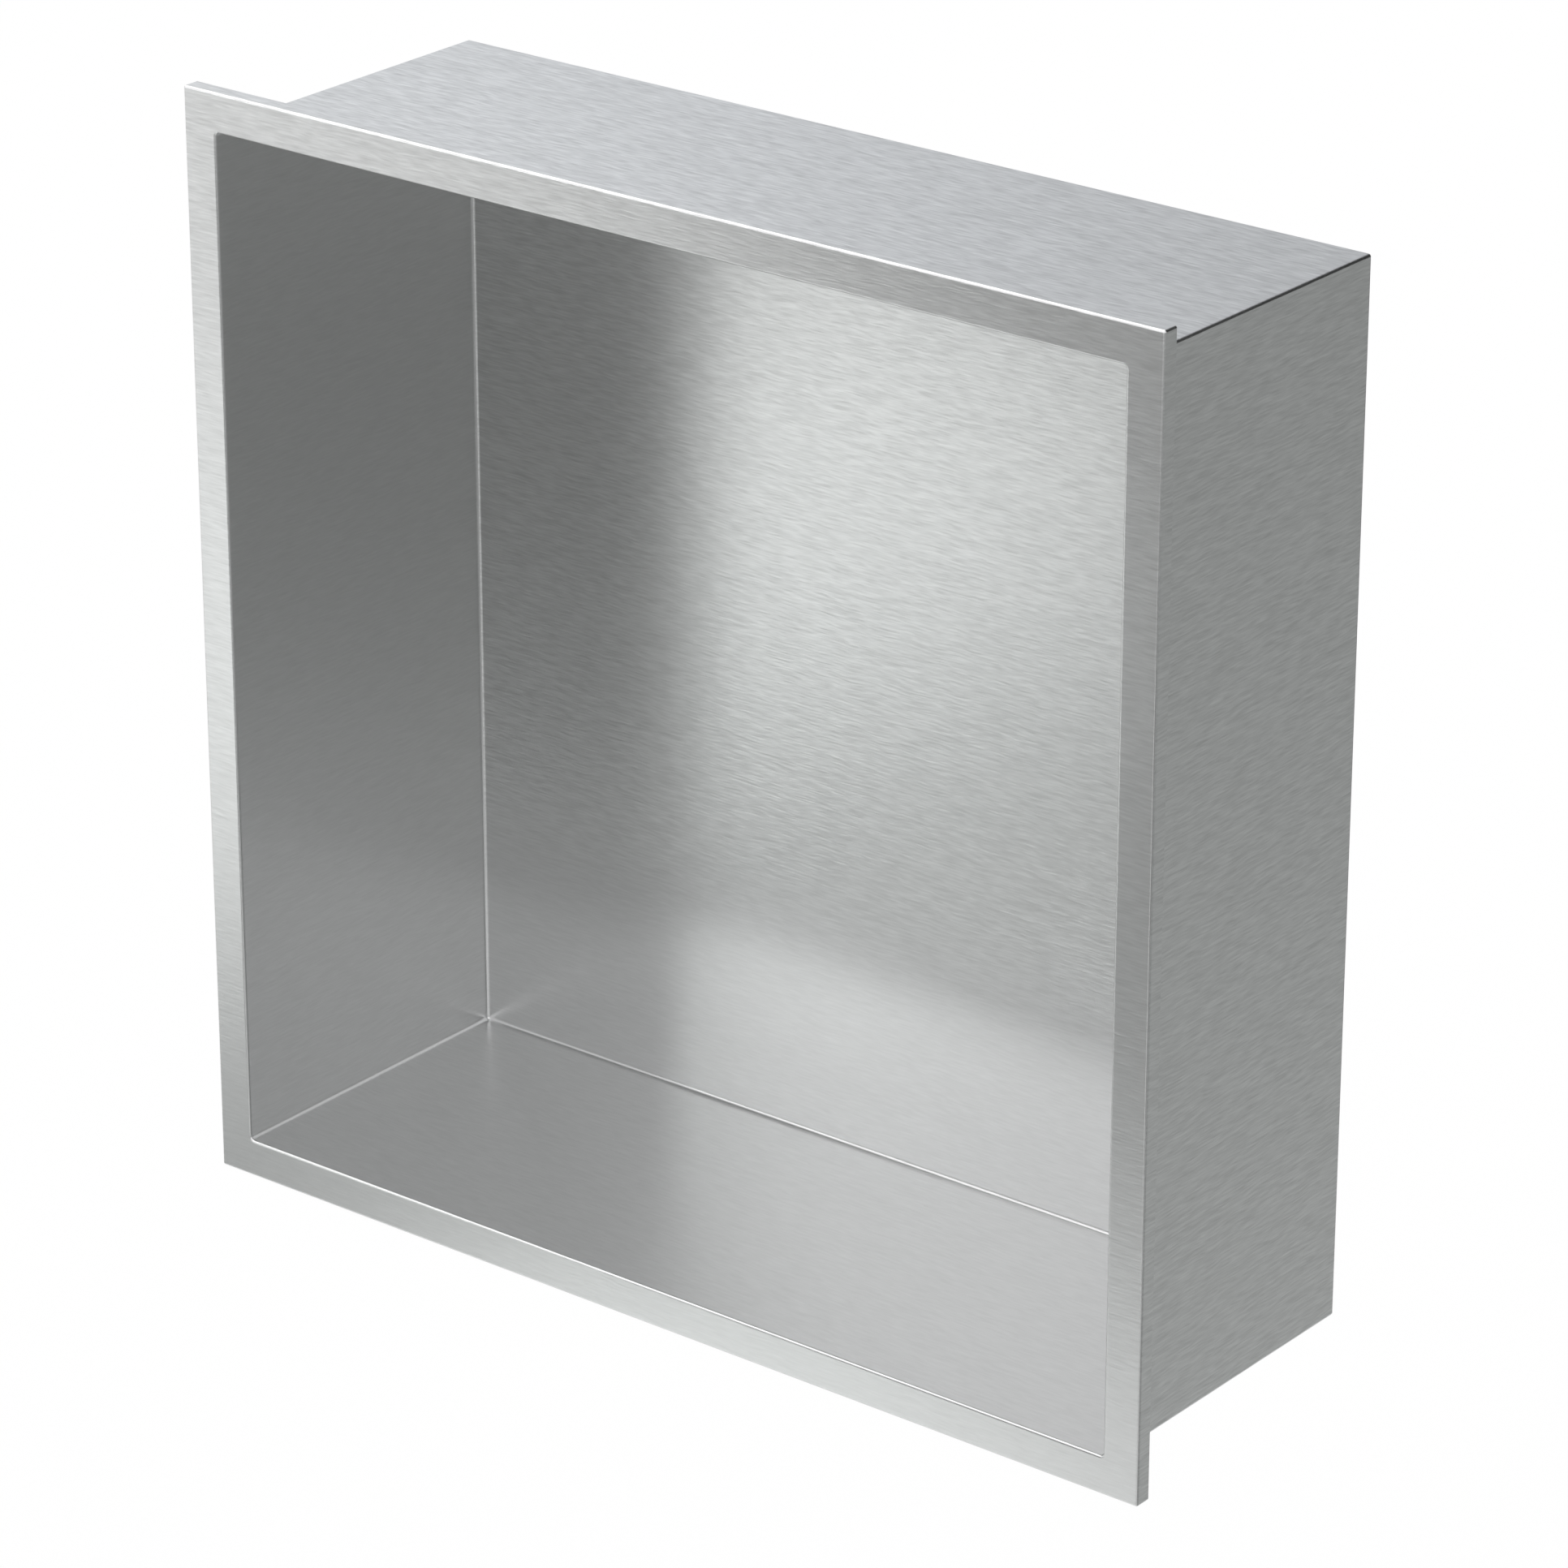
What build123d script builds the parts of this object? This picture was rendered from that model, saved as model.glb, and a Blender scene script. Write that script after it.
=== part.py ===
from build123d import *
import os

# Driving dimensions, in millimetres.
opening = 304.8         # clear width and height of the niche, nominally 12 in
recess_depth = 101.6    # from the wall's face to the outside of the back, nominally 4 in
sheet = 1.2             # stainless sheet, 18 gauge
face_width = 11.4       # flange face, from the opening out to the edge
lip_depth = 5.0         # how far the flange's face stands off the wall on its lip
fold_outside = 0.7      # outside radius of the grooved folds at the flange's two edges
fold_inside = 0.2       # inside radius of the same folds
weld_inside = 1.2       # dressed weld in the corners inside the box
weld_outside = 0.8      # ground weld along the edges outside the box

# Sizes that follow from them.
box_size = opening + 2 * sheet
flange_size = opening + 2 * face_width
channel_size = flange_size - 2 * sheet
overall_depth = lip_depth + recess_depth
pocket_depth = overall_depth - sheet

# The origin is the centre of the opening on the wall's face, with +Y into the wall and +Z up.
wall_face = Plane.XZ
flange_face = wall_face.offset(lip_depth)
flange_rear = flange_face.offset(-sheet)

# Faces sorted along Y run from the room to the wall.
room_end = 0
wall_end = -1
face_level = 0
rear_level = 1


def into_wall(plane, profile, depth):
    """A profile on a plane that faces the room, extruded towards the wall."""
    return extrude(plane * profile, -depth)


def rounded_block(size, depth, radius, rounded_end):
    """A square block behind the flange's face, rounded along its depth and round one end."""
    block = into_wall(flange_face, RectangleRounded(size, size, radius), depth)
    return fillet(block.faces().sort_by(Axis.Y)[rounded_end].edges(), radius)


def inner_fold(part, level):
    """The edges where the flange turns into the box, on the flange's face or on the rear of its sheet."""
    flange_side = part.faces().filter_by(Axis.Y).group_by(Axis.Y)[level].sort_by(SortBy.AREA)[-1]
    return flange_side.inner_wires()[0].edges()


def niche_insert():
    """The folded and welded sheet: a box with a flange, hollow behind the flange's face."""
    box = rounded_block(box_size, overall_depth, weld_outside, wall_end)
    pocket = rounded_block(opening, pocket_depth, weld_inside, wall_end)
    flange = rounded_block(flange_size, lip_depth, fold_outside, room_end)
    channel = into_wall(flange_rear, Rectangle(channel_size, channel_size), lip_depth - sheet)
    channel = fillet(channel.faces().sort_by(Axis.Y)[room_end].edges(), fold_inside)
    insert = (flange - channel) + box - pocket
    insert = fillet(inner_fold(insert, face_level), fold_outside)
    return fillet(inner_fold(insert, rear_level), fold_inside)


os.makedirs("parts", exist_ok=True)
export_step(niche_insert(), "parts/niche_insert.step")
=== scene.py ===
import bpy
import math
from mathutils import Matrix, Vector


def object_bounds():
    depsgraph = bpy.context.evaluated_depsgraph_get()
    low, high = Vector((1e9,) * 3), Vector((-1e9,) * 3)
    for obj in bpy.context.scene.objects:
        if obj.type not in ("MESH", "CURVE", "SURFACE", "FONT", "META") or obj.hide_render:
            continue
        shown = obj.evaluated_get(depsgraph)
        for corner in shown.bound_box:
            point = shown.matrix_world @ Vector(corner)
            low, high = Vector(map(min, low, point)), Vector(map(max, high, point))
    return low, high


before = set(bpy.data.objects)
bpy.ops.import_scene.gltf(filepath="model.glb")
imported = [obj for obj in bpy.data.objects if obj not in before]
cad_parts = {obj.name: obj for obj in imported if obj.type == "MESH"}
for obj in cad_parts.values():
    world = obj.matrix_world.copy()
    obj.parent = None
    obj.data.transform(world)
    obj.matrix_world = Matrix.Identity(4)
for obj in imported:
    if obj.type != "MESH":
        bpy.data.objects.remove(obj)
cad_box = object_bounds()

# Camera: it looks at a point inside the niche, from its right and above, in metres and degrees.
camera_aim = Vector((0.007, 0.043, -0.014))
camera_azimuth = 38.4
camera_elevation = 23.1
camera_distance = 1.81
camera_lens_mm = 152.0
camera_sensor_mm = 36.0

# Brushed steel: its colour in the grain's valleys and on its ridges, and how far reflections spread.
valley_colour = (0.392, 0.397, 0.395, 1.0)
ridge_colour = (0.839, 0.848, 0.844, 1.0)
valley_roughness = 0.295
ridge_roughness = 0.275
full_metal = 1.0

# The grain: streaks that run round the box, in metres, and are wider from front to back.
grain_length = 0.0060
grain_width = 0.00050
deep_grain_width = 0.0008
grain_height = 0.00005
grain_detail = 1.0
middle_grain = 0.5

# The streaks' lines waver slightly.
waver_length = 0.010
waver_height = 0.0008
waver_detail = 0.0

# The streaks' noise: its place is scaled beforehand, and is kept off its grid, where it would fade out.
own_scale = 1.0
off_grid = 0.5

# How strong the grain is: full on the outside's level faces, less on its upright faces and the niche's back,
# and least on the niche's side walls, floor and ceiling. It fades down the flange, and low on the back.
# This grading is painted light: the grain is drawn fainter where the steel sees softer, more even light,
# which hides grain. The steel itself is not different there.
full_contrast = 1.0
upright_contrast = 0.72
back_contrast = 0.7
least_contrast = 0.24
back_full_z = -0.068
back_faint_z = -0.1

# The inside of the niche is nearer than this to its middle, across and up.
inside_reach = 0.153

# A face looks along an axis if its normal is within 45 degrees of it.
facing = math.cos(math.radians(45))

# Studio: a pale floor far below, for a piece that hangs in a wall, under an even white surround.
floor_drop = 1.0
floor_size = 14.0
surround_strength = 1.0

# The whites of the floor, the surround and the cards: plain, and with a touch of blue, green and rose.
white = (1.0, 1.0, 1.0, 1.0)
cool_white = (0.94, 0.96, 1.0, 1.0)
green_white = (0.98, 1.0, 0.99, 1.0)
rose_white = (1.0, 0.985, 1.0, 1.0)

# Cards and softboxes, which only the steel's reflections see.
# In front of the niche, they stand one behind another. The dark flag is an outline of points across and up.
front_distance = 0.7
card_step = 0.01
gap_softbox_x = (-0.08, 0.2)
gap_softbox_z = (-0.5, -0.12)
gap_softbox_strength = 1.0
dark_flag_outline = [
    (0.95, -0.17), (-0.83, 0.12), (-0.33, -0.31), (-0.8, -0.54),
    (-1.92, -1.03), (-1.48, -1.15), (-1.28, -1.15), (-0.61, -0.57), (0.95, -0.46),
]
dark_flag_strength = 0.11
key_softbox_x = (-0.7, -0.6)
key_softbox_z = (0.08, 0.33)
key_softbox_strength = 5.4
low_softbox_x = (-0.88, -0.42)
low_softbox_z = (-1.1, -0.25)
low_softbox_strength = 1.66
high_softbox_x = (-2.0, 2.0)
high_softbox_z = (0.05, 1.6)
high_softbox_strength = 1.43

# To the right, behind and overhead, each is a rectangle. Two change along an axis: (place, strength).
right_flag_x = 0.8
right_flag_y = (0.4, 3.0)
right_flag_z = (-1.15, 0.0)
right_flag_grade = ((-0.75, 0.46), (0.0, 0.39))
near_right_flag_y = (-0.75, 0.4)
near_right_flag_z = (-1.15, 0.1)
near_right_flag_strength = 0.37
high_right_flag_z = (0.0, 2.5)
high_right_flag_strength = 0.03
back_flag_x = (-2.2, 2.0)
back_flag_y = 2.0
back_flag_z = (-1.1, 2.5)
back_flag_grade = ((-1.8, 0.95), (0.5, 0.03))
overhead_x = (-1.5, 0.1)
overhead_y = (-1.0, 0.6)
overhead_z = 1.3
overhead_strength = 2.5


def new_material(name):
    """A node material with nothing in it yet, and its node tree."""
    material = bpy.data.materials.new(name)
    material.use_nodes = True
    tree = material.node_tree
    tree.nodes.clear()
    return material, tree


def finish_material(tree, surface):
    output = tree.nodes.new("ShaderNodeOutputMaterial")
    tree.links.new(surface, output.inputs["Surface"])


def plug(tree, socket, value):
    """Gives a socket either a number of its own or another node's result."""
    if isinstance(value, bpy.types.NodeSocket):
        tree.links.new(value, socket)
    else:
        socket.default_value = value


def add_math(tree, operation, *values):
    node = tree.nodes.new("ShaderNodeMath")
    node.operation = operation
    for socket, value in zip(node.inputs, values):
        plug(tree, socket, value)
    return node.outputs["Value"]


def add_vector_math(tree, operation, first, second):
    node = tree.nodes.new("ShaderNodeVectorMath")
    node.operation = operation
    plug(tree, node.inputs[0], first)
    plug(tree, node.inputs[1], second)
    return node.outputs["Vector"]


def add_mix(tree, kind, factor, first, second):
    """A mix that is first where factor is 0 and second where it is 1."""
    node = tree.nodes.new("ShaderNodeMix")
    node.data_type = kind
    in_use = {socket.name: socket for socket in node.inputs if socket.enabled}
    plug(tree, in_use["Factor"], factor)
    plug(tree, in_use["A"], first)
    plug(tree, in_use["B"], second)
    return next(socket for socket in node.outputs if socket.enabled)


def add_range(tree, value, start, end):
    """A value mapped from one (value, result) to another, and held at the ends."""
    node = tree.nodes.new("ShaderNodeMapRange")
    plug(tree, node.inputs["Value"], value)
    node.inputs["From Min"].default_value, node.inputs["To Min"].default_value = start
    node.inputs["From Max"].default_value, node.inputs["To Max"].default_value = end
    return node.outputs["Result"]


def add_split(tree, vector):
    node = tree.nodes.new("ShaderNodeSeparateXYZ")
    plug(tree, node.inputs["Vector"], vector)
    return node.outputs


def add_position(tree):
    """Where a point is on its object."""
    return tree.nodes.new("ShaderNodeTexCoord").outputs["Object"]


def add_noise(tree, position, scale, detail):
    node = tree.nodes.new("ShaderNodeTexNoise")
    node.inputs["Scale"].default_value = scale
    node.inputs["Detail"].default_value = detail
    plug(tree, node.inputs["Vector"], position)
    return node


def add_waver(tree, position):
    """The position pushed a little this way and that, so that the grain's lines aren't quite straight."""
    noise = add_noise(tree, position, 1 / waver_length, waver_detail)
    push = add_math(tree, "MULTIPLY", noise.outputs["Fac"], waver_height)
    return add_vector_math(tree, "ADD", position, push)


def add_streaks(tree, position, sideways):
    """Noise drawn out along the grain: along X, and along Y on faces that look sideways."""
    along_x = (1 / grain_length, 1 / deep_grain_width, 1 / grain_width)
    along_y = (1 / grain_width, 1 / grain_length, 1 / grain_width)
    stretch = add_mix(tree, "VECTOR", sideways, along_x, along_y)
    stretched = add_vector_math(tree, "MULTIPLY", add_waver(tree, position), stretch)
    noise = add_noise(tree, stretched, own_scale, grain_detail)
    noise.noise_dimensions = "4D"
    noise.inputs["W"].default_value = off_grid
    return noise.outputs["Fac"]


def add_painted_light_contrast(tree, position, normal):
    """How strong the grain is drawn at a place on the steel: painted light, fainter where the light on it is
    softer.
    """
    place = add_split(tree, position)
    across = add_math(tree, "ABSOLUTE", place["X"])
    up = add_math(tree, "ABSOLUTE", place["Z"])
    within_walls = add_math(tree, "LESS_THAN", add_math(tree, "MAXIMUM", across, up), inside_reach)

    upright = add_math(tree, "LESS_THAN", add_math(tree, "ABSOLUTE", normal["Z"]), facing)
    outside = add_mix(tree, "FLOAT", upright, full_contrast, upright_contrast)
    not_rear = add_math(tree, "LESS_THAN", normal["Y"], facing)
    on_returns = add_math(tree, "MULTIPLY", within_walls, not_rear)
    not_in_front = add_mix(tree, "FLOAT", on_returns, outside, least_contrast)

    flange = add_range(tree, place["Z"], (-inside_reach, least_contrast), (inside_reach, upright_contrast))
    back = add_range(tree, place["Z"], (back_faint_z, least_contrast), (back_full_z, back_contrast))
    in_front = add_mix(tree, "FLOAT", within_walls, flange, back)
    faces_front = add_math(tree, "LESS_THAN", normal["Y"], -facing)
    return add_mix(tree, "FLOAT", faces_front, not_in_front, in_front)


def brushed_steel():
    material, tree = new_material("brushed_stainless_finish")
    position = add_position(tree)
    normal = add_split(tree, tree.nodes.new("ShaderNodeNewGeometry").outputs["True Normal"])
    sideways = add_math(tree, "GREATER_THAN", add_math(tree, "ABSOLUTE", normal["X"]), facing)

    # The grain's strength by place is painted light, fainter where softer light falls, not a change in the
    # steel.
    contrast = add_painted_light_contrast(tree, position, normal)
    grain = add_mix(tree, "FLOAT", contrast, middle_grain, add_streaks(tree, position, sideways))
    colour = add_mix(tree, "RGBA", grain, valley_colour, ridge_colour)
    roughness = add_mix(tree, "FLOAT", grain, valley_roughness, ridge_roughness)
    bump = tree.nodes.new("ShaderNodeBump")
    bump.inputs["Distance"].default_value = grain_height
    plug(tree, bump.inputs["Height"], grain)

    shader = tree.nodes.new("ShaderNodeBsdfPrincipled")
    shader.inputs["Metallic"].default_value = full_metal
    plug(tree, shader.inputs["Base Color"], colour)
    plug(tree, shader.inputs["Roughness"], roughness)
    plug(tree, shader.inputs["Normal"], bump.outputs["Normal"])
    finish_material(tree, shader.outputs["BSDF"])
    return material


def floor_material():
    """A matt white floor that is clear from below, so that it doesn't hide the niche's underside."""
    material, tree = new_material("pale_floor")
    matt = tree.nodes.new("ShaderNodeBsdfDiffuse")
    matt.inputs["Color"].default_value = white
    clear = tree.nodes.new("ShaderNodeBsdfTransparent")
    shader = tree.nodes.new("ShaderNodeMixShader")
    plug(tree, shader.inputs["Fac"], tree.nodes.new("ShaderNodeNewGeometry").outputs["Backfacing"])
    plug(tree, shader.inputs[1], matt.outputs["BSDF"])
    plug(tree, shader.inputs[2], clear.outputs["BSDF"])
    finish_material(tree, shader.outputs["Shader"])
    return material


def new_glow(name, colour):
    """A glow with no strength set yet, its node tree, and the socket for its strength."""
    material, tree = new_material(name)
    material.cycles.emission_sampling = "NONE"
    shader = tree.nodes.new("ShaderNodeEmission")
    shader.inputs["Color"].default_value = colour
    finish_material(tree, shader.outputs["Emission"])
    return material, tree, shader.inputs["Strength"]


def even_glow(name, colour, strength):
    material, tree, strength_socket = new_glow(name, colour)
    plug(tree, strength_socket, strength)
    return material


def graded_glow(name, colour, axis, grade):
    """A glow that changes along an axis, between two (place, strength) pairs."""
    material, tree, strength_socket = new_glow(name, colour)
    place = add_split(tree, add_position(tree))
    plug(tree, strength_socket, add_range(tree, place[axis], *grade))
    return material


def rectangle(first, second):
    """The corners of a rectangle from the ends of its two sides, in order round it."""
    return [(first[0], second[0]), (first[1], second[0]), (first[1], second[1]), (first[0], second[1])]


def add_plane(name, corners, material):
    mesh = bpy.data.meshes.new(name)
    mesh.from_pydata(corners, [], [tuple(range(len(corners)))])
    mesh.materials.append(material)
    plane = bpy.data.objects.new(name, mesh)
    bpy.context.scene.collection.objects.link(plane)
    return plane


def add_card(corners, glow):
    """A card that only the steel's reflections see, with the name of its glow."""
    card = add_plane(glow.name, corners, glow)
    card.visible_camera = False
    card.visible_diffuse = False
    card.visible_shadow = False


def add_front_cards():
    """The cards in front of the niche, from the nearest to the furthest."""
    cards = (
        ("gap_softbox", rectangle(gap_softbox_x, gap_softbox_z), white, gap_softbox_strength),
        ("dark_flag", dark_flag_outline, green_white, dark_flag_strength),
        ("key_softbox", rectangle(key_softbox_x, key_softbox_z), green_white, key_softbox_strength),
        ("low_softbox", rectangle(low_softbox_x, low_softbox_z), green_white, low_softbox_strength),
        ("high_softbox", rectangle(high_softbox_x, high_softbox_z), rose_white, high_softbox_strength),
    )
    for layer, (name, outline, colour, strength) in enumerate(cards):
        y = -front_distance - layer * card_step
        corners = [(x, y, z) for x, z in outline]
        add_card(corners, even_glow(name, colour, strength))


def add_side_cards():
    right = [(right_flag_x, y, z) for y, z in rectangle(right_flag_y, right_flag_z)]
    add_card(right, graded_glow("right_flag", green_white, "Z", right_flag_grade))
    near_right = [(right_flag_x, y, z) for y, z in rectangle(near_right_flag_y, near_right_flag_z)]
    add_card(near_right, even_glow("near_right_flag", green_white, near_right_flag_strength))
    high_right = [(right_flag_x, y, z) for y, z in rectangle(right_flag_y, high_right_flag_z)]
    add_card(high_right, even_glow("high_right_flag", white, high_right_flag_strength))
    back = [(x, back_flag_y, z) for x, z in rectangle(back_flag_x, back_flag_z)]
    add_card(back, graded_glow("back_flag", cool_white, "X", back_flag_grade))
    overhead = [(x, y, overhead_z) for x, y in rectangle(overhead_x, overhead_y)]
    add_card(overhead, even_glow("overhead", white, overhead_strength))


def add_camera():
    azimuth = math.radians(camera_azimuth)
    elevation = math.radians(camera_elevation)
    towards_camera = Vector((
        math.sin(azimuth) * math.cos(elevation),
        -math.cos(azimuth) * math.cos(elevation),
        math.sin(elevation),
    ))
    data = bpy.data.cameras.new("camera")
    data.lens = camera_lens_mm
    data.sensor_width = camera_sensor_mm
    camera = bpy.data.objects.new("camera", data)
    camera.location = camera_aim + camera_distance * towards_camera
    camera.rotation_euler = (-towards_camera).to_track_quat("-Z", "Y").to_euler()
    bpy.context.scene.collection.objects.link(camera)
    bpy.context.scene.camera = camera


def add_surround():
    world = bpy.data.worlds.new("surround")
    world.use_nodes = True
    background = world.node_tree.nodes["Background"]
    background.inputs["Color"].default_value = white
    background.inputs["Strength"].default_value = surround_strength
    bpy.context.scene.world = world


def add_floor():
    half = floor_size / 2
    level = cad_box[0][2] - floor_drop
    corners = [(x, y, level) for x, y in rectangle((-half, half), (-half, half))]
    add_plane("floor", corners, floor_material())


insert = bpy.data.objects["niche_insert"]
insert.material_slots[0].material = brushed_steel()

add_camera()
add_surround()
add_floor()
add_front_cards()
add_side_cards()
bpy.context.scene.view_settings.view_transform = "Standard"
